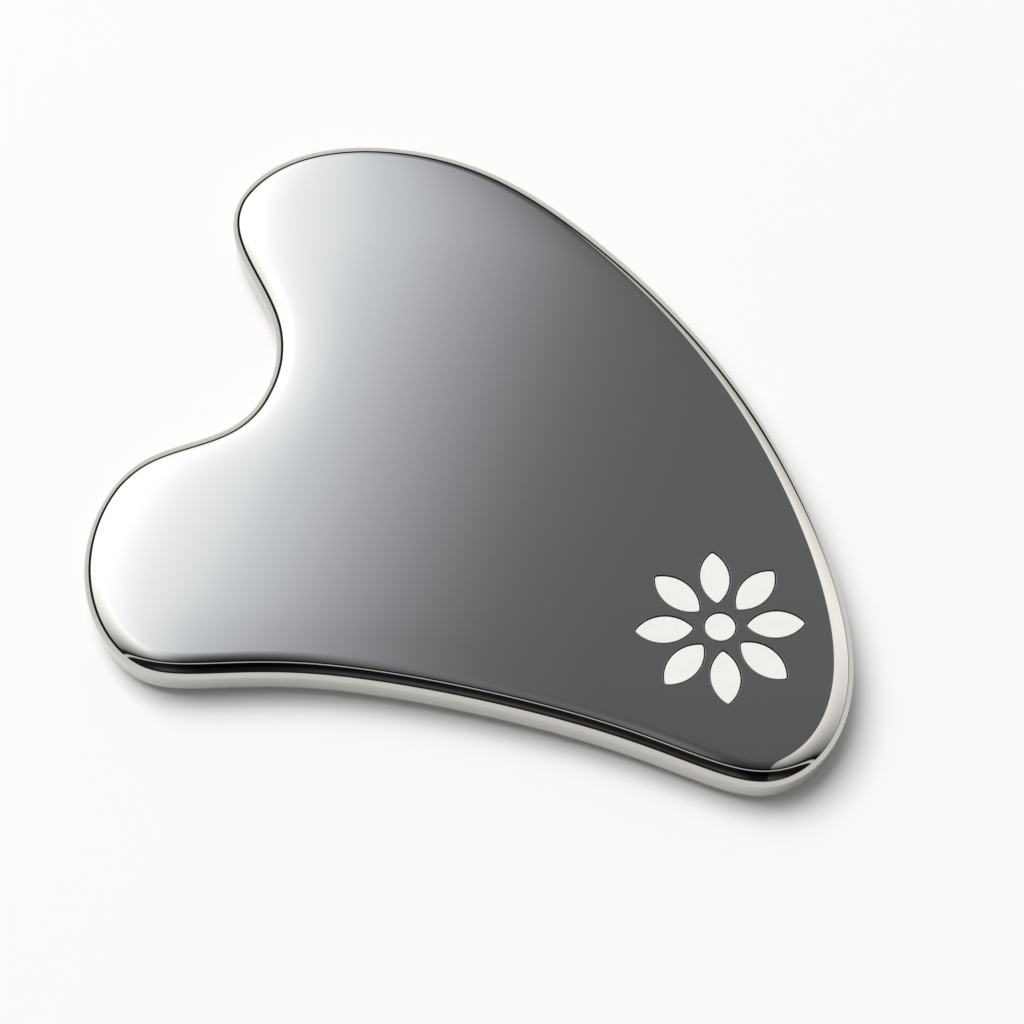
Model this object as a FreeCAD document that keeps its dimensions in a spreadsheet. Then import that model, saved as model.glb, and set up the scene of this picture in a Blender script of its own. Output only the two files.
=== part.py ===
import FreeCAD, Part
import math
import os
import Sketcher

# Gua sha scraper: one flat steel plate with a waved outline and a rounded rim, and an
# engraved rosette whose eight petals and round centre are filled with white enamel.
#
# Frame: the plate lies on the XY plane with its face up (+Z). The origin is the middle of
# the plate's box, to a tenth of a millimetre, on the surface it lies on. +X runs along the
# plate's length towards the rounded tip, and the notch with its two lobes is at the -X end.
# Millimetres throughout.

SHEET_NAME = "Dimensions"
PARTS_FOLDER = "parts"

DIMENSIONS = (
    ("plate_thickness", 5.0),
    ("edge_radius", 2.0),
    ("rosette_x", 26.5),
    ("rosette_y", 6.0),
    ("pocket_depth", 0.3),
    ("enamel_height", 0.26),
    ("enamel_clearance", 0.12),
    ("centre_radius", 1.5),
    ("petal_count", 8),
    ("petal_inner_end", 2.35),
    ("petal_outer_end", 7.75),
    ("petal_end_radius", 0.35),
    ("petal_side_radius", 3.4),
)

# Control points of the outline, a closed cubic spline that runs anticlockwise. The names say
# which stretch of the edge each point pulls on.
OUTLINE = (
    ("tip_upper", 42.0, 12.0),
    ("back_rise", 13.0, 29.0),
    ("back_crown", -11.5, 32.5),
    ("back_fall", -28.0, 31.5),
    ("upper_lobe_top", -42.0, 20.5),
    ("upper_lobe_nose", -41.5, 7.0),
    ("notch_upper", -25.5, 4.5),
    ("notch_bottom", -19.5, -8.0),
    ("notch_lower", -28.0, -16.0),
    ("lower_lobe_left", -22.5, -29.5),
    ("lower_lobe_right", -8.5, -34.5),
    ("belly_start", -1.5, -22.5),
    ("belly_end", 29.0, -6.0),
    ("tip_lower", 42.0, -4.5),
)
OUTLINE_DEGREE = 3


def cell(alias):
    """The expression that reads one cell of the sheet."""
    return "{}.{}".format(SHEET_NAME, alias)


def add_sheet(doc):
    """Put every driving dimension in the sheet, one row each, with its alias."""
    sheet = doc.addObject("Spreadsheet::Sheet", SHEET_NAME)
    rows = list(DIMENSIONS)
    for name, x, y in OUTLINE:
        rows.append((name + "_x", x))
        rows.append((name + "_y", y))
    for number, (alias, size) in enumerate(rows, start=1):
        sheet.set("A{}".format(number), alias)
        sheet.set("B{}".format(number), str(size))
        sheet.setAlias("B{}".format(number), alias)
    doc.recompute()
    return sheet


def add_body(doc, name):
    body = doc.addObject("PartDesign::Body", name)
    body.Label = name
    return body


def add_sketch(body, name):
    """A sketch on the body's own XY plane."""
    sketch = body.newObject("Sketcher::SketchObject", name)
    planes = [item for item in body.Origin.OriginFeatures if item.Role == "XY_Plane"]
    sketch.AttachmentSupport = [(planes[0], "")]
    sketch.MapMode = "FlatFace"
    return sketch


def constrain(sketch, expression, *constraint):
    """Add a dimension to the sketch and bind it to an expression."""
    index = sketch.addConstraint(Sketcher.Constraint(*constraint))
    sketch.setExpression("Constraints[{}]".format(index), expression)


def move_to_rosette(sketch, height):
    """Shift a sketch to the middle of the rosette, at a height above the XY plane."""
    sketch.setExpression("AttachmentOffset.Base.x", cell("rosette_x"))
    sketch.setExpression("AttachmentOffset.Base.y", cell("rosette_y"))
    sketch.setExpression("AttachmentOffset.Base.z", height)


def draw_outline(sketch):
    """The plate's outline: each control point is held by its own two cells."""
    points = [FreeCAD.Vector(x, y, 0.0) for name, x, y in OUTLINE]
    curve = Part.BSplineCurve()
    curve.buildFromPoles(points, True, OUTLINE_DEGREE)
    spline = sketch.addGeometry(curve, False)
    sketch.exposeInternalGeometry(spline)
    for number, (name, x, y) in enumerate(OUTLINE, start=1):
        point = (spline + number, 3)
        constrain(sketch, cell(name + "_x"), "DistanceX", -1, 1, *point, x)
        constrain(sketch, cell(name + "_y"), "DistanceY", -1, 1, *point, y)


def draw_centre(sketch, clearance):
    """The rosette's round centre, drawn in by a clearance given as an expression."""
    radius = "{} - {}".format(cell("centre_radius"), clearance)
    circle = sketch.addGeometry(Part.Circle(), False)
    sketch.addConstraint(Sketcher.Constraint("Coincident", circle, 3, -1, 1))
    constrain(sketch, radius, "Radius", circle, 1.0)


def arc(centre_x, centre_y, radius, start, end):
    circle = Part.Circle(FreeCAD.Vector(centre_x, centre_y, 0), FreeCAD.Vector(0, 0, 1), radius)
    return Part.ArcOfCircle(circle, start, end)


def draw_petal(sketch, sheet, clearance):
    """One petal along +X: two long side arcs that meet two small end arcs tangentially.

    Drawing it in by a clearance keeps the four centres and takes the clearance off each radius.
    """
    end_radius = sheet.get("petal_end_radius")
    side_radius = sheet.get("petal_side_radius")
    inner = sheet.get("petal_inner_end") + end_radius
    outer = sheet.get("petal_outer_end") - end_radius
    middle = (inner + outer) / 2
    reach = side_radius - end_radius
    offset = math.sqrt(reach ** 2 - (outer - middle) ** 2)
    lean = math.atan2(offset, outer - middle)

    upper = sketch.addGeometry(arc(middle, -offset, side_radius, lean, math.pi - lean), False)
    left = sketch.addGeometry(arc(inner, 0, end_radius, math.pi - lean, math.pi + lean), False)
    lower = sketch.addGeometry(arc(middle, offset, side_radius, math.pi + lean, -lean), False)
    right = sketch.addGeometry(arc(outer, 0, end_radius, -lean, lean), False)
    ring = (upper, left, lower, right)
    for first, second in zip(ring, ring[1:] + ring[:1]):
        sketch.addConstraint(Sketcher.Constraint("Tangent", first, 2, second, 1))
    sketch.addConstraint(Sketcher.Constraint("PointOnObject", left, 3, -1))
    sketch.addConstraint(Sketcher.Constraint("PointOnObject", right, 3, -1))
    sketch.addConstraint(Sketcher.Constraint("Equal", upper, lower))
    sketch.addConstraint(Sketcher.Constraint("Equal", left, right))

    inner_centre = "{} + {}".format(cell("petal_inner_end"), cell("petal_end_radius"))
    outer_centre = "{} - {}".format(cell("petal_outer_end"), cell("petal_end_radius"))
    constrain(sketch, inner_centre, "DistanceX", -1, 1, left, 3, inner)
    constrain(sketch, outer_centre, "DistanceX", -1, 1, right, 3, outer)
    end_size = "{} - {}".format(cell("petal_end_radius"), clearance)
    side_size = "{} - {}".format(cell("petal_side_radius"), clearance)
    constrain(sketch, end_size, "Radius", right, end_radius)
    constrain(sketch, side_size, "Radius", upper, side_radius)


def add_pad(body, sketch, name, length):
    pad = body.newObject("PartDesign::Pad", name)
    pad.Profile = sketch
    pad.setExpression("Length", length)
    return pad


def add_pocket(body, sketch, name):
    """Engrave a sketch that lies in the plate's face."""
    pocket = body.newObject("PartDesign::Pocket", name)
    pocket.Profile = sketch
    pocket.setExpression("Length", cell("pocket_depth"))
    return pocket


def rim_edges(shape):
    """Names of the closed edges that run round the two flat faces."""
    names = []
    for number, edge in enumerate(shape.Edges, start=1):
        if edge.isClosed():
            names.append("Edge{}".format(number))
    return names


def build_plate(doc, sheet):
    """The steel plate, with the rosette's nine pockets engraved in its face."""
    body = add_body(doc, "scraper_plate")
    outline = add_sketch(body, "plate_outline")
    draw_outline(outline)
    slab = add_pad(body, outline, "plate_slab", cell("plate_thickness"))
    doc.recompute()

    rim = body.newObject("PartDesign::Fillet", "plate_rim")
    rim.Base = (slab, rim_edges(slab.Shape))
    rim.setExpression("Radius", cell("edge_radius"))
    doc.recompute()

    centre = add_sketch(body, "centre_pocket_outline")
    draw_centre(centre, "0")
    move_to_rosette(centre, cell("plate_thickness"))
    add_pocket(body, centre, "centre_pocket")
    doc.recompute()

    petal = add_sketch(body, "petal_pocket_outline")
    draw_petal(petal, sheet, "0")
    move_to_rosette(petal, cell("plate_thickness"))
    petal_pocket = add_pocket(body, petal, "petal_pocket")
    doc.recompute()

    petals = body.newObject("PartDesign::PolarPattern", "petal_pockets")
    petals.Originals = [petal_pocket]
    petals.Axis = (petal, ["N_Axis"])
    petals.Angle = 360
    petals.setExpression("Occurrences", cell("petal_count"))
    body.Tip = petals
    doc.recompute()
    return body


def place_in_rosette(body, turn):
    """Stand a fill on the floor of its pocket, turned about the rosette's middle."""
    floor = "{} - {}".format(cell("plate_thickness"), cell("pocket_depth"))
    body.setExpression("Placement.Base.x", cell("rosette_x"))
    body.setExpression("Placement.Base.y", cell("rosette_y"))
    body.setExpression("Placement.Base.z", floor)
    body.setExpression("Placement.Rotation.Angle", turn)


def build_centre_inlay(doc):
    body = add_body(doc, "centre_inlay")
    sketch = add_sketch(body, "centre_inlay_outline")
    draw_centre(sketch, cell("enamel_clearance"))
    add_pad(body, sketch, "centre_inlay_fill", cell("enamel_height"))
    place_in_rosette(body, "0")
    return body


def build_petal_inlay(doc, sheet, number):
    """One petal's enamel fill; petal 1 points along +X and the rest follow anticlockwise."""
    name = "petal_inlay_{}".format(number)
    body = add_body(doc, name)
    sketch = add_sketch(body, name + "_outline")
    draw_petal(sketch, sheet, cell("enamel_clearance"))
    add_pad(body, sketch, name + "_fill", cell("enamel_height"))
    place_in_rosette(body, "{} * 360 / {}".format(number - 1, cell("petal_count")))
    return body


def check_document(doc, bodies):
    """Stop if any object failed, or if a sub-part has no sound solid."""
    for item in doc.Objects:
        if "Invalid" in item.State or "Error" in item.State:
            raise RuntimeError("{} failed: {}".format(item.Name, item.State))
    for body in bodies:
        shape = body.Shape
        if shape.isNull() or not shape.isValid() or len(shape.Solids) != 1:
            raise RuntimeError("{} has no sound solid".format(body.Label))


def check_engraving(plate, sheet):
    """Stop unless the centre and every petal have a pocket floor at the engraved depth."""
    depth = sheet.get("plate_thickness") - sheet.get("pocket_depth")
    heights = [face.CenterOfMass.z for face in plate.Shape.Faces]
    floors = [height for height in heights if math.isclose(height, depth, abs_tol=1e-6)]
    if len(floors) != sheet.get("petal_count") + 1:
        raise RuntimeError("{} pocket floors found".format(len(floors)))


def write_parts(bodies):
    os.makedirs(PARTS_FOLDER, exist_ok=True)
    for body in bodies:
        body.Shape.exportStep(os.path.join(PARTS_FOLDER, body.Label + ".step"))


def main():
    doc = FreeCAD.newDocument("gua_sha_scraper")
    sheet = add_sheet(doc)
    plate = build_plate(doc, sheet)
    bodies = [plate, build_centre_inlay(doc)]
    for number in range(1, int(sheet.get("petal_count")) + 1):
        bodies.append(build_petal_inlay(doc, sheet, number))
    doc.recompute()
    check_document(doc, bodies)
    check_engraving(plate, sheet)
    write_parts(bodies)
    box = plate.Shape.optimalBoundingBox(False, False)
    print("plate {:.2f} x {:.2f} x {:.2f} mm".format(box.XLength, box.YLength, box.ZLength))
    print("middle of its box {:.3f}, {:.3f}".format(box.Center.x, box.Center.y))


main()
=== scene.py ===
import math
import bpy
import numpy as np
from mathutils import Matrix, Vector
from mathutils.geometry import delaunay_2d_cdt


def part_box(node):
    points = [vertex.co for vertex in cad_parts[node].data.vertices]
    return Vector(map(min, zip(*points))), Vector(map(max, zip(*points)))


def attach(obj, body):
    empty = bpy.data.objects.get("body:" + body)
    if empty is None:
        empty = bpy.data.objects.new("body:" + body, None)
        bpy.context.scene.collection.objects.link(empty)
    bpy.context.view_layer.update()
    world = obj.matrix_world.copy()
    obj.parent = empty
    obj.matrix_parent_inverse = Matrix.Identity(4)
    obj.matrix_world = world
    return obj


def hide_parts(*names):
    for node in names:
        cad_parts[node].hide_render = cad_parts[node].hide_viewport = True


# A mirror-polished gua sha plate with an enamel rosette, lying on a pale studio floor.
# The plate and the nine enamel fills are finely meshed here and stand for their CAD nodes.
# Everything is in metres, in the frame of the CAD part.

MM = 0.001
BODY = "root"

# The control points of the plate's outline, as the CAD part has them, and its rim, whose section
# is an ellipse where the CAD part has a round.
OUTLINE = MM * np.array([
    (42.0, 12.0), (13.0, 29.0), (-11.5, 32.5), (-28.0, 31.5), (-42.0, 20.5), (-41.5, 7.0),
    (-25.5, 4.5), (-19.5, -8.0), (-28.0, -16.0), (-22.5, -29.5), (-8.5, -34.5), (-1.5, -22.5),
    (29.0, -6.0), (42.0, -4.5),
])
RIM_WIDTH = 2.0 * MM
RIM_DROP = 1.66 * MM
OUTLINE_SAMPLES = 720
DENSE_SAMPLES = 40 * OUTLINE_SAMPLES
RIM_STEPS = 20
LAND_STEPS = 2

# Buffing rolls the flat faces off a little towards the rim: the slope at the rim, in radians,
# and the distance over which it fades.
ROLL_SLOPE = 0.025
ROLL_FADE = 2.0 * MM
ROLL_RINGS = MM * np.array([0.3, 0.7, 1.2, 1.8])

# The points that fill the flat faces: their spacing, and how far they keep from other rings.
FACE_SPACING = 1.2 * MM
ROW_SPACING = FACE_SPACING * math.sqrt(0.75)
RING_GAP = 0.4 * FACE_SPACING
RING_STRIDE = 2
EDGE_STRIDE = 4
POCKET_GAP = 0.25 * MM
TINY = 1e-9
PLAIN_TRIANGLES = 0
MERGE_DISTANCE = 1e-7

# The engraved rosette.
PETAL_COUNT = 8
POCKET_DEPTH = 0.3 * MM
CLEARANCE = 0.12 * MM
CENTRE_RADIUS = 1.5 * MM
PETAL_INNER_END = 2.35 * MM
PETAL_OUTER_END = 7.75 * MM
PETAL_END_RADIUS = 0.35 * MM
PETAL_SIDE_RADIUS = 3.4 * MM
LIP_RADIUS = 0.02 * MM
LIP_STEPS = 3
FILL_EDGE = 0.07 * MM
CENTRE_SAMPLES = 64
SIDE_SAMPLES = 30
END_SAMPLES = 10

# The camera, with its lens and sensor in millimetres, and the studio's axes, turned with it.
AZIMUTH = math.radians(42.0)
ELEVATION = math.radians(60.0)
LENS = 85.0
SENSOR = 36.0
CLIP_START = 0.01
DISTANCE = 223.9 * MM
AIM_OFFSET = (4.56 * MM, 2.32 * MM)
RIGHT = Vector((math.cos(AZIMUTH), math.sin(AZIMUTH), 0.0))
BACK = Vector((-math.sin(AZIMUTH), math.cos(AZIMUTH), 0.0))
UP = Vector((0.0, 0.0, 1.0))

# The key light, placed from the aim along the studio's axes, and the floor.
KEY_RIGHT, KEY_BACK, KEY_UP = -1.25, 1.0, 3.0
KEY_SIZE = 2.6
KEY_POWER = 124.0
FLOOR_HALF = 4.0
FLOOR_DROP = 0.01 * MM

# Colours, and the range that noise mostly keeps to.
NOISE_RANGE = (0.3, 0.7)
STEEL_COLOUR = (0.565, 0.55, 0.52)
RECESS_DARK = (0.008, 0.008, 0.008)
RECESS_LIGHT = (0.03, 0.029, 0.027)
ENAMEL_COLOUR = (0.84, 0.83, 0.805)
ENAMEL_MOTTLE = 0.96
FLOOR_COLOUR = (0.9, 0.895, 0.89)
EVEN_LIGHT = (0.27, 0.27, 0.27)
BACKDROP = (0.93, 0.93, 0.93)


def spline(at):
    """Places on the outline's closed cubic B-spline, and the direction it runs in there."""
    knots = len(OUTLINE)
    span = np.floor(at).astype(int) % knots
    t = (at - np.floor(at))[:, None]
    a, b, c, d = (OUTLINE[(span + ahead) % knots] for ahead in range(4))
    place = ((1 - t) ** 3 * a + (3 * t ** 3 - 6 * t ** 2 + 4) * b
             + (-3 * t ** 3 + 3 * t ** 2 + 3 * t + 1) * c + t ** 3 * d) / 6
    speed = (-(1 - t) ** 2 * a + (3 * t ** 2 - 4 * t) * b
             + (-3 * t ** 2 + 2 * t + 1) * c + t ** 2 * d) / 2
    return place, speed


def outline_points():
    """Points evenly spaced along the outline, and their outward normals."""
    dense = np.linspace(0, len(OUTLINE), DENSE_SAMPLES + 1)
    place, _ = spline(dense)
    length = np.concatenate([[0], np.cumsum(np.hypot(*np.diff(place, axis=0).T))])
    wanted = np.linspace(0, length[-1], OUTLINE_SAMPLES, endpoint=False)
    place, speed = spline(np.interp(wanted, length, dense))
    speed /= np.hypot(*speed.T)[:, None]
    return place, np.stack([speed[:, 1], -speed[:, 0]], axis=1)


def circle_points():
    """The outline of the centre's pocket, and its outward normals."""
    turn = np.linspace(0, 2 * math.pi, CENTRE_SAMPLES, endpoint=False)
    out = np.stack([np.cos(turn), np.sin(turn)], axis=1)
    return CENTRE_RADIUS * out, out


def petal_points():
    """One petal along +X: two side arcs that meet two small end arcs tangentially."""
    inner = PETAL_INNER_END + PETAL_END_RADIUS
    outer = PETAL_OUTER_END - PETAL_END_RADIUS
    middle = (inner + outer) / 2
    offset = math.sqrt((PETAL_SIDE_RADIUS - PETAL_END_RADIUS) ** 2 - (outer - middle) ** 2)
    lean = math.atan2(offset, outer - middle)
    arcs = (
        (middle, -offset, PETAL_SIDE_RADIUS, lean, math.pi - lean, SIDE_SAMPLES),
        (inner, 0.0, PETAL_END_RADIUS, math.pi - lean, math.pi + lean, END_SAMPLES),
        (middle, offset, PETAL_SIDE_RADIUS, math.pi + lean, 2 * math.pi - lean, SIDE_SAMPLES),
        (outer, 0.0, PETAL_END_RADIUS, -lean, lean, END_SAMPLES),
    )
    points, normals = [], []
    for x, y, radius, start, end, samples in arcs:
        turn = np.linspace(start, end, samples, endpoint=False)
        out = np.stack([np.cos(turn), np.sin(turn)], axis=1)
        points.append(np.array([x, y]) + radius * out)
        normals.append(out)
    return np.concatenate(points), np.concatenate(normals)


def rosette_loops(middle):
    """Name, points and normals of each pocket's outline: the centre and the turned petals."""
    points, normals = circle_points()
    loops = [("centre_inlay", points + middle, normals)]
    points, normals = petal_points()
    for number in range(PETAL_COUNT):
        turn = 2 * math.pi * number / PETAL_COUNT
        rotate = np.array([[math.cos(turn), math.sin(turn)], [-math.sin(turn), math.cos(turn)]])
        name = "petal_inlay_{}".format(number + 1)
        loops.append((name, points @ rotate + middle, normals @ rotate))
    return loops


def distance_to(points, loop):
    """How far each point is from the nearest point of a loop."""
    return np.sqrt(((points[:, None, :] - loop[None, :, :]) ** 2).sum(axis=2).min(axis=1))


def inside(points, loop):
    """Which points lie inside a closed loop."""
    x, y = points[:, 0, None], points[:, 1, None]
    x0, y0 = loop.T
    x1, y1 = np.roll(loop, -1, axis=0).T
    spans = (y0 > y) != (y1 > y)
    rise = np.where(y1 == y0, 1.0, y1 - y0)
    crossing = x0 + (y - y0) * (x1 - x0) / rise
    return (spans & (x < crossing)).sum(axis=1) % 2 == 1


class Skin:
    """Vertices, their normals and faces, gathered ring by ring."""

    def __init__(self):
        self.places = []
        self.normals = []
        self.faces = []
        self.face_normals = []
        self.dark = []

    def add(self, places, normals):
        """Add vertices and give their indices."""
        first = len(self.places)
        self.places.extend(map(tuple, places))
        self.normals.extend(map(tuple, normals))
        return list(range(first, len(self.places)))

    def add_ring(self, points, normals, height, tilt):
        """A ring of points whose normals lean out from +Z by a tilt, in radians."""
        heights = np.broadcast_to(height, len(points))
        places = np.column_stack([points, heights])
        ups = np.full(len(points), math.cos(tilt))
        return self.add(places, np.column_stack([math.sin(tilt) * normals, ups]))

    def face(self, corners, dark=False, normal=None):
        """A face; its corners take their vertices' normals unless it has one of its own."""
        self.faces.append(tuple(corners))
        self.face_normals.append(normal)
        self.dark.append(dark)

    def bridge(self, upper, lower, dark=False):
        """Quads between two rings that run anticlockwise, facing outwards."""
        for k in range(len(upper)):
            after = (k + 1) % len(upper)
            self.face((upper[k], lower[k], lower[after], upper[after]), dark)

    def build(self, name, materials):
        """The mesh object; dark faces take the second material."""
        mesh = bpy.data.meshes.new(name)
        mesh.from_pydata(self.places, [], self.faces)
        for material in materials:
            mesh.materials.append(material)
        mesh.polygons.foreach_set("use_smooth", [True] * len(self.faces))
        mesh.polygons.foreach_set("material_index", [int(d) for d in self.dark])
        mesh.normals_split_custom_set([
            own or self.normals[corner]
            for corners, own in zip(self.faces, self.face_normals)
            for corner in corners
        ])
        piece = bpy.data.objects.new(name, mesh)
        bpy.context.scene.collection.objects.link(piece)
        return piece


def roll(points, edge):
    """How far the buffed face has dropped at each point, and its normals, not yet unit long."""
    away = points[:, None, :] - edge[None, :, :]
    nearest = np.argmin((away ** 2).sum(axis=2), axis=1)
    away = away[np.arange(len(points)), nearest]
    distance = np.hypot(*away.T)
    fade = np.exp(-distance / ROLL_FADE)
    outward = -away / np.maximum(distance, TINY)[:, None]
    tilted = np.column_stack([ROLL_SLOPE * fade[:, None] * outward, np.ones(len(points))])
    return ROLL_SLOPE * ROLL_FADE * fade, tilted


def face_grid(edge):
    """Staggered points inside the flat face, clear of its rings."""
    low, high = edge.min(axis=0), edge.max(axis=0)
    rows = np.arange(low[1], high[1], ROW_SPACING)
    grid = []
    for number, y in enumerate(rows):
        start = low[0] + (number % 2) * FACE_SPACING / 2
        grid.extend((x, y) for x in np.arange(start, high[0], FACE_SPACING))
    grid = np.array(grid)
    grid = grid[inside(grid, edge)]
    return grid[distance_to(grid, edge[::EDGE_STRIDE]) > ROLL_RINGS[-1] + RING_GAP]


def face_points(edge, normals, holes):
    """The points that fill a face: rings along its edge, then a grid, clear of its pockets."""
    sparse, outwards = edge[::RING_STRIDE], normals[::RING_STRIDE]
    rings = [sparse - distance * outwards for distance in ROLL_RINGS]
    points = np.concatenate(rings + [face_grid(edge)])
    for hole in holes:
        points = points[~inside(points, hole) & (distance_to(points, hole) > POCKET_GAP)]
    return points


def triangulate(edge, holes, filling):
    """Anticlockwise triangles over the points of an edge, its holes and its filling, in order."""
    points = np.concatenate([edge] + holes + [filling])
    borders, start = [], 0
    for loop in [edge] + holes:
        ring = list(range(start, start + len(loop)))
        borders.extend(zip(ring, ring[1:] + ring[:1]))
        start += len(loop)
    places = [Vector(point) / MM for point in points]
    made = delaunay_2d_cdt(places, borders, [], PLAIN_TRIANGLES, MERGE_DISTANCE, True)
    faces, origins = made[2], made[3]
    triangles = np.array([[origins[corner][0] for corner in face] for face in faces])
    centres = points[triangles].mean(axis=1)
    keep = inside(centres, edge)
    for hole in holes:
        keep &= ~inside(centres, hole)
    triangles = triangles[keep]
    a, b, c = (points[triangles[:, corner]] for corner in range(3))
    area = (b[:, 0] - a[:, 0]) * (c[:, 1] - a[:, 1]) - (b[:, 1] - a[:, 1]) * (c[:, 0] - a[:, 0])
    triangles[area < 0] = triangles[area < 0, ::-1]
    return triangles


def close_top(skin, ring, edge, normals, lips, top):
    """Fill the upper face between its outer ring and the rings round its pockets."""
    holes = [lip for _, lip in lips]
    filling = face_points(edge, normals, holes)
    drop, tilted = roll(filling, edge)
    indices = ring + [index for lip_ring, _ in lips for index in lip_ring]
    indices += skin.add(np.column_stack([filling, top - drop]), tilted)
    for triangle in triangulate(edge, holes, filling):
        skin.face([indices[corner] for corner in triangle])


def close_bottom(skin, ring, edge, normals):
    """Fill the lower face inside its ring."""
    filling = face_points(edge, normals, [])
    rise, tilted = roll(filling, edge)
    indices = ring + skin.add(np.column_stack([filling, rise]), tilted * (1, 1, -1))
    for triangle in triangulate(edge, [], filling):
        skin.face([indices[corner] for corner in triangle[::-1]])


def engrave(skin, points, normals, edge, top):
    """One pocket: its rounded lip, wall and floor. Gives the lip's outer ring and its points."""
    rim = points + LIP_RADIUS * normals
    drop, _ = roll(rim, edge)
    rings = []
    for angle in np.linspace(0, math.pi / 2, LIP_STEPS + 1):
        out = LIP_RADIUS * (1 - math.sin(angle))
        height = top - drop - LIP_RADIUS * (1 - math.cos(angle))
        rings.append(skin.add_ring(points + out * normals, -normals, height, angle))
    for above, below in zip(rings, rings[1:]):
        skin.bridge(below, above)
    foot = skin.add_ring(points, -normals, top - POCKET_DEPTH, math.pi / 2)
    skin.bridge(foot, rings[-1], dark=True)
    skin.face(foot, dark=True, normal=(0, 0, 1))
    return rings[0], rim


def rim_section():
    """Inset, drop and tilt down the elliptical rim, from the flat face to the straight land."""
    section = []
    for tilt in np.linspace(ROLL_SLOPE, math.pi / 2, RIM_STEPS + 1):
        out, up = RIM_WIDTH * math.sin(tilt), RIM_DROP * math.cos(tilt)
        length = math.hypot(out, up)
        section.append((RIM_WIDTH * (1 - out / length), RIM_DROP * (1 - up / length), tilt))
    return section


def plate_section(top):
    """Inset, height and tilt down the plate's whole side: upper rim, straight land, lower rim."""
    rim = rim_section()
    fall = ROLL_SLOPE * ROLL_FADE
    upper = [(inset, top - fall - drop, tilt) for inset, drop, tilt in rim]
    lower = [(inset, fall + drop, math.pi - tilt) for inset, drop, tilt in reversed(rim)]
    heights = np.linspace(upper[-1][1], lower[0][1], LAND_STEPS + 2)[1:-1]
    return upper + [(0.0, height, math.pi / 2) for height in heights] + lower


def make_plate(loops, top, materials):
    """The plate: two buffed flat faces, the rounded rim between them, and the pockets."""
    skin = Skin()
    points, normals = outline_points()
    section = plate_section(top)
    rings = [
        skin.add_ring(points - inset * normals, normals, height, tilt)
        for inset, height, tilt in section
    ]
    for above, below in zip(rings, rings[1:]):
        skin.bridge(above, below)
    edge = points - section[0][0] * normals
    lips = [engrave(skin, around, out, edge, top) for _, around, out in loops]
    close_top(skin, rings[0], edge, normals, lips, top)
    close_bottom(skin, rings[-1], edge, normals)
    return skin.build("polished_plate", materials)


def make_fill(name, points, normals, floor, top, material):
    """An enamel fill: straight sides, a softly rounded edge and a level top."""
    skin = Skin()
    wall = points - CLEARANCE * normals
    rings = [skin.add_ring(wall, normals, floor, math.pi / 2)]
    for angle in np.linspace(math.pi / 2, 0, LIP_STEPS + 1):
        inset = FILL_EDGE * (1 - math.sin(angle))
        height = top - FILL_EDGE * (1 - math.cos(angle))
        rings.append(skin.add_ring(wall - inset * normals, normals, height, angle))
    for below, above in zip(rings, rings[1:]):
        skin.bridge(above, below)
    skin.face(rings[-1])
    skin.face(reversed(rings[0]), normal=(0, 0, -1))
    return skin.build(name, [material])


def new_material(name):
    """A new material, its node tree and its shader."""
    material = bpy.data.materials.new(name)
    material.use_nodes = True
    return material, material.node_tree, material.node_tree.nodes["Principled BSDF"]


def add_node(tree, kind, **inputs):
    """A node with some of its inputs set; a name's underscores stand for spaces."""
    node = tree.nodes.new(kind)
    for name, value in inputs.items():
        node.inputs[name.replace("_", " ")].default_value = value
    return node


def add_noise(tree, scale, detail, stretch=(1, 1, 1)):
    """Noise in the object's own coordinates; its scale is in cells per metre."""
    coordinates = tree.nodes.new("ShaderNodeTexCoord")
    mapping = add_node(tree, "ShaderNodeMapping", Scale=stretch)
    noise = add_node(tree, "ShaderNodeTexNoise", Scale=scale, Detail=detail)
    tree.links.new(coordinates.outputs["Object"], mapping.inputs["Vector"])
    tree.links.new(mapping.outputs["Vector"], noise.inputs["Vector"])
    return noise


def slope(tree, value, start, end, low=0.0, high=1.0, kind="LINEAR"):
    """A straight change from low to high as value goes from start to end."""
    node = tree.nodes.new("ShaderNodeMapRange")
    node.interpolation_type = kind
    ends = {"From Min": start, "From Max": end, "To Min": low, "To Max": high}
    for name, number in ends.items():
        node.inputs[name].default_value = number
    tree.links.new(value, node.inputs["Value"])
    return node.outputs["Result"]


def step(tree, value, start, end, low=0.0, high=1.0):
    """A smooth change from low to high as value goes from start to end."""
    return slope(tree, value, start, end, low, high, "SMOOTHSTEP")


def add_ramp(tree, source, ends, first, second):
    """A colour that goes from first to second as the source goes from one end to the other."""
    ramp = tree.nodes.new("ShaderNodeValToRGB")
    for element, place, colour in zip(ramp.color_ramp.elements, ends, (first, second)):
        element.position = place
        element.color = (*colour, 1)
    tree.links.new(source, ramp.inputs["Fac"])
    return ramp.outputs["Color"]


def add_bump(tree, shader, source, strength, distance):
    """Relief for a shader, from a source of heights."""
    bump = add_node(tree, "ShaderNodeBump", Strength=strength, Distance=distance)
    tree.links.new(source, bump.inputs["Height"])
    tree.links.new(bump.outputs["Normal"], shader.inputs["Normal"])


def steel_material():
    """Mirror-polished stainless steel: faint polishing haze and very fine buffing lines."""
    material, tree, shader = new_material("mirror_steel")
    shader.inputs["Base Color"].default_value = (*STEEL_COLOUR, 1)
    shader.inputs["Metallic"].default_value = 1.0
    haze = add_noise(tree, scale=90.0, detail=4.0)
    roughness = slope(tree, haze.outputs["Fac"], *NOISE_RANGE, low=0.02, high=0.045)
    tree.links.new(roughness, shader.inputs["Roughness"])
    lines = add_noise(tree, scale=900.0, detail=3.0, stretch=(1, 14, 1))
    add_bump(tree, shader, lines.outputs["Fac"], strength=0.02, distance=0.002 * MM)
    return material


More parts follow.
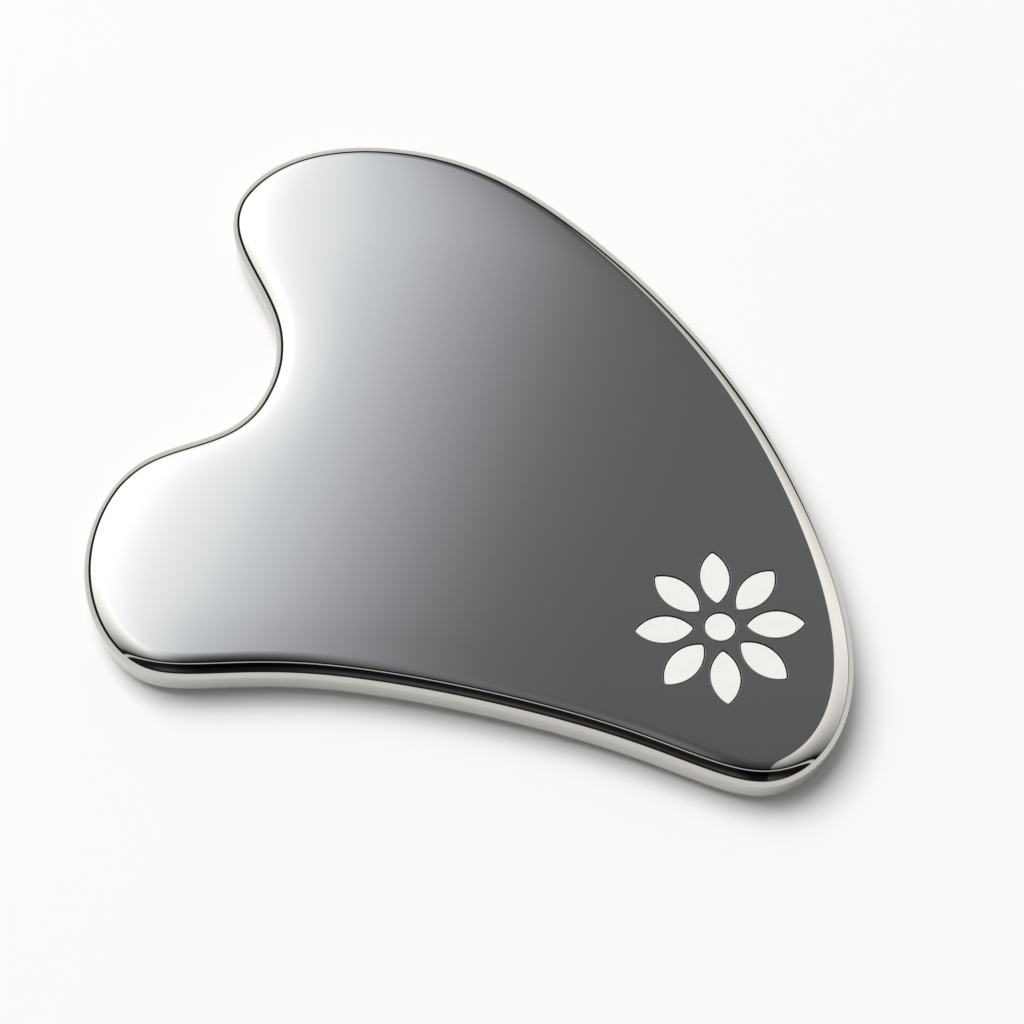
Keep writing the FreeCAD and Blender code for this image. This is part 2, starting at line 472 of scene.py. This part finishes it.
def recess_material():
    """The engraved walls and floors: blackened, unpolished steel."""
    material, tree, shader = new_material("engraved_recess")
    shader.inputs["Metallic"].default_value = 1.0
    grain = add_noise(tree, scale=6000.0, detail=3.0)
    colour = add_ramp(tree, grain.outputs["Fac"], (0.0, 1.0), RECESS_DARK, RECESS_LIGHT)
    tree.links.new(colour, shader.inputs["Base Color"])
    roughness = slope(tree, grain.outputs["Fac"], *NOISE_RANGE, low=0.5, high=0.75)
    tree.links.new(roughness, shader.inputs["Roughness"])
    add_bump(tree, shader, grain.outputs["Fac"], strength=0.4, distance=0.02 * MM)
    return material


def enamel_material():
    """Satin white enamel: slight mottling, a fine orange-peel surface and a soft sheen."""
    material, tree, shader = new_material("white_enamel")
    mottle = add_noise(tree, scale=700.0, detail=3.0)
    darker = [ENAMEL_MOTTLE * channel for channel in ENAMEL_COLOUR]
    colour = add_ramp(tree, mottle.outputs["Fac"], NOISE_RANGE, darker, ENAMEL_COLOUR)
    tree.links.new(colour, shader.inputs["Base Color"])
    peel = add_noise(tree, scale=5000.0, detail=2.0)
    roughness = slope(tree, peel.outputs["Fac"], *NOISE_RANGE, low=0.42, high=0.52)
    tree.links.new(roughness, shader.inputs["Roughness"])
    add_bump(tree, shader, peel.outputs["Fac"], strength=0.15, distance=0.01 * MM)
    return material


def floor_material():
    """Matt pale paper, without any shine."""
    material, tree, shader = new_material("studio_floor")
    shader.inputs["Base Color"].default_value = (*FLOOR_COLOUR, 1)
    shader.inputs["Specular IOR Level"].default_value = 0.0
    grain = add_noise(tree, scale=400.0, detail=2.0)
    roughness = slope(tree, grain.outputs["Fac"], *NOISE_RANGE, low=0.9, high=1.0)
    tree.links.new(roughness, shader.inputs["Roughness"])
    return material


def math_node(tree, operation, *values):
    """The result of an operation on values that are constants or sockets."""
    node = tree.nodes.new("ShaderNodeMath")
    node.operation = operation
    for socket, value in zip(node.inputs, values):
        if hasattr(value, "is_linked"):
            tree.links.new(value, socket)
        else:
            socket.default_value = value
    return node.outputs["Value"]


def scale(tree, colour, factor):
    """A colour times a number, which may be a constant or a socket."""
    node = tree.nodes.new("ShaderNodeVectorMath")
    node.operation = "SCALE"
    tree.links.new(colour, node.inputs[0])
    if hasattr(factor, "is_linked"):
        tree.links.new(factor, node.inputs["Scale"])
    else:
        node.inputs["Scale"].default_value = factor
    return node.outputs["Vector"]


def along(tree, direction, axis):
    """How far a direction points along a fixed axis."""
    node = tree.nodes.new("ShaderNodeVectorMath")
    node.operation = "DOT_PRODUCT"
    tree.links.new(direction, node.inputs[0])
    node.inputs[1].default_value = axis
    return node.outputs["Value"]


def mix(tree, factor, first, second):
    """From the first colour to the second; either may be a constant or a socket."""
    node = tree.nodes.new("ShaderNodeMix")
    node.data_type = "RGBA"
    tree.links.new(factor, node.inputs["Factor"])
    for name, value in (("A", first), ("B", second)):
        socket = [s for s in node.inputs if s.name == name and s.type == "RGBA"][0]
        if hasattr(value, "is_linked"):
            tree.links.new(value, socket)
        else:
            socket.default_value = (*value, 1)
    return [s for s in node.outputs if s.type == "RGBA"][0]


# The studio that the steel mirrors. A direction is told by how far it points along RIGHT, BACK
# and UP. A change along one of these is (start, end, value at the start, value at the end), or
# only (start, end) where it goes from 0 to 1.

# The soft box's fall-off, from its white left to its dark right: the place across it, and the
# colour there as a share of SOFT_BOX_WHITE. The place is how far right, moved by two shifts
# that depend on how far back the direction points.
FALL_OFF = (
    (-0.20, (1.0, 1.0, 1.0)),
    (-0.125, (0.80, 0.83, 0.88)),
    (-0.075, (0.54, 0.57, 0.61)),
    (-0.05, (0.415, 0.44, 0.49)),
    (-0.025, (0.30, 0.315, 0.35)),
    (0.0, (0.21, 0.22, 0.245)),
    (0.025, (0.142, 0.148, 0.162)),
    (0.05, (0.108, 0.112, 0.123)),
    (0.1, (0.082, 0.084, 0.088)),
)
SOFT_BOX_WHITE = 2.2
BACK_SHIFT = (0.44, 0.597, 0.067, -0.005)
FRONT_SHIFT = (-0.3, 0.44, 0.08, 0.0)

# The side wall, to the right of the soft box, and how it darkens towards the back.
SIDE_WALL = (1.5, 1.49, 1.49)
SIDE_WALL_FAR = (1.05, 1.04, 1.03)
SIDE_WALL_EDGE = (0.248, 0.265)
SIDE_WALL_FADE = (0.5, 0.75)

# How bright both are from front to back: the front wall is dark, but less so near the floor.
OVERHEAD = (-0.3, 0.5, 0.15, 1.0)
FRONT_WALL = (-0.39, -0.28, 0.05, 1.0)
FRONT_FOOT = (-0.97, -0.72, 0.4, 0.05)
BEHIND = (0.62, 0.92, 1.0, 0.6)

# A light strip on the front wall: its front edge and its back edge.
FRONT_STRIP = (0.85, 0.85, 0.86)
STRIP_FRONT_EDGE = (-0.52, -0.49)
STRIP_BACK_EDGE = (-0.43, -0.46)

# A dark band on the horizon, between two heights. Under it lies the far floor.
HORIZON_BAND = (0.02, 0.02, 0.02)
FAR_FLOOR = (0.95, 0.94, 0.93)
BAND_FOOT = (0.7, 0.95, -0.1, 0.3)
BAND_TOP_ACROSS = (-0.6, 0.5, 0.28, 0.06)
BAND_TOP_BACK = (0.6, 0.95, 0.06, 0.57)
BAND_SOFTNESS = 0.02


def soft_box(tree, across):
    """The soft box's colour at a place across its fall-off."""
    low, high = FALL_OFF[0][0], FALL_OFF[-1][0]
    ramp = tree.nodes.new("ShaderNodeValToRGB")
    ramp.color_ramp.interpolation = "B_SPLINE"
    while len(ramp.color_ramp.elements) < len(FALL_OFF):
        ramp.color_ramp.elements.new(0.5)
    for element, (place, colour) in zip(ramp.color_ramp.elements, FALL_OFF):
        element.position = (place - low) / (high - low)
        element.color = (*colour, 1)
    tree.links.new(slope(tree, across, low, high), ramp.inputs["Fac"])
    return scale(tree, ramp.outputs["Color"], SOFT_BOX_WHITE)


def walls(tree, right, back):
    """The soft box and the side wall, at their brightness from front to back."""
    across = math_node(tree, "ADD", right, slope(tree, back, *BACK_SHIFT))
    beside = step(tree, across, *SIDE_WALL_EDGE)
    across = math_node(tree, "ADD", across, slope(tree, back, *FRONT_SHIFT))
    side_wall = mix(tree, step(tree, back, *SIDE_WALL_FADE), SIDE_WALL, SIDE_WALL_FAR)
    colour = mix(tree, beside, soft_box(tree, across), side_wall)

    front = math_node(tree, "MAXIMUM", step(tree, back, *FRONT_WALL), step(tree, back, *FRONT_FOOT))
    level = math_node(tree, "MULTIPLY", slope(tree, back, *OVERHEAD), front)
    level = math_node(tree, "MULTIPLY", level, step(tree, back, *BEHIND))
    return scale(tree, colour, level)


def horizon(tree, right, back, up, colour):
    """Put the dark band on the horizon, and the far floor under it, over a colour."""
    across_top = step(tree, right, *BAND_TOP_ACROSS)
    top = math_node(tree, "MAXIMUM", across_top, step(tree, back, *BAND_TOP_BACK))
    foot = step(tree, back, *BAND_FOOT)
    over_top = math_node(tree, "SUBTRACT", up, top)
    over_foot = math_node(tree, "SUBTRACT", up, foot)
    under_top = step(tree, over_top, -BAND_SOFTNESS, BAND_SOFTNESS, 1.0, 0.0)
    over_foot = step(tree, over_foot, -BAND_SOFTNESS, BAND_SOFTNESS)
    band = math_node(tree, "MULTIPLY", under_top, over_foot)
    below = math_node(tree, "MULTIPLY", under_top, math_node(tree, "SUBTRACT", 1.0, over_foot))
    return mix(tree, band, mix(tree, below, colour, FAR_FLOOR), HORIZON_BAND)


def studio_reflection(tree, direction):
    """What polished steel sees of the studio above the horizon."""
    right = along(tree, direction, RIGHT)
    back = along(tree, direction, BACK)
    up = along(tree, direction, UP)
    colour = horizon(tree, right, back, up, walls(tree, right, back))
    front_edge = step(tree, back, *STRIP_FRONT_EDGE)
    strip = math_node(tree, "MULTIPLY", front_edge, step(tree, back, *STRIP_BACK_EDGE))
    return mix(tree, strip, colour, FRONT_STRIP)


def make_world():
    """Even light for the floor, and the studio's soft box for what the steel reflects."""
    world = bpy.data.worlds.new("studio")
    bpy.context.scene.world = world
    world.use_nodes = True
    tree = world.node_tree
    coordinates = tree.nodes.new("ShaderNodeTexCoord")
    rays = tree.nodes.new("ShaderNodeLightPath")
    reflected = studio_reflection(tree, coordinates.outputs["Generated"])
    colour = mix(tree, rays.outputs["Is Glossy Ray"], EVEN_LIGHT, reflected)
    colour = mix(tree, rays.outputs["Is Camera Ray"], colour, BACKDROP)
    tree.links.new(colour, tree.nodes["Background"].inputs["Color"])


def make_light(aim):
    """The key: a square soft light that the steel doesn't mirror."""
    data = bpy.data.lights.new("key", "AREA")
    data.size = KEY_SIZE
    data.energy = KEY_POWER
    light = bpy.data.objects.new("key", data)
    light.location = aim + KEY_RIGHT * RIGHT + KEY_BACK * BACK + KEY_UP * UP
    light.rotation_euler = (aim - light.location).to_track_quat("-Z", "Y").to_euler()
    light.visible_glossy = False
    light.visible_camera = False
    bpy.context.scene.collection.objects.link(light)


def make_floor():
    """The floor, just under the plate."""
    mesh = bpy.data.meshes.new("floor")
    turns = ((-1, -1), (1, -1), (1, 1), (-1, 1))
    corners = [(x * FLOOR_HALF, y * FLOOR_HALF, -FLOOR_DROP) for x, y in turns]
    mesh.from_pydata(corners, [], [(0, 1, 2, 3)])
    mesh.materials.append(floor_material())
    floor = bpy.data.objects.new("floor", mesh)
    bpy.context.scene.collection.objects.link(floor)


def make_camera(aim):
    """The camera, which looks at the aim from in front and above."""
    data = bpy.data.cameras.new("camera")
    data.lens = LENS
    data.sensor_width = SENSOR
    data.clip_start = CLIP_START
    camera = bpy.data.objects.new("camera", data)
    away = math.sin(ELEVATION) * UP - math.cos(ELEVATION) * BACK
    camera.location = aim + DISTANCE * away
    camera.rotation_euler = (-away).to_track_quat("-Z", "Y").to_euler()
    bpy.context.scene.collection.objects.link(camera)
    bpy.context.scene.camera = camera


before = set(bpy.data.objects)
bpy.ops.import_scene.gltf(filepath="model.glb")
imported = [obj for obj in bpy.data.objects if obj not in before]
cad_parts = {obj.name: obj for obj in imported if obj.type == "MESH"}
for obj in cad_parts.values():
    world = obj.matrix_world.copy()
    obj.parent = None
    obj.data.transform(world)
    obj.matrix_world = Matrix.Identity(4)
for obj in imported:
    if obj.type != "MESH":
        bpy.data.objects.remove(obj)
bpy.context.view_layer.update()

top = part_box("scraper_plate")[1].z
centre_low, centre_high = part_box("centre_inlay")
rosette_middle = np.array((centre_low + centre_high)[:2]) / 2
fill_floor, fill_top = centre_low.z, centre_high.z
loops = rosette_loops(rosette_middle)

plate = make_plate(loops, top, [steel_material(), recess_material()])
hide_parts("scraper_plate")
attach(plate, BODY)

enamel = enamel_material()
for name, points, normals in loops:
    fill = make_fill("enamel_" + name, points, normals, fill_floor, fill_top, enamel)
    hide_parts(name)
    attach(fill, BODY)

make_floor()
make_world()
aim = Vector((*AIM_OFFSET, top))
make_light(aim)
make_camera(aim)
bpy.context.scene.view_settings.view_transform = "Standard"
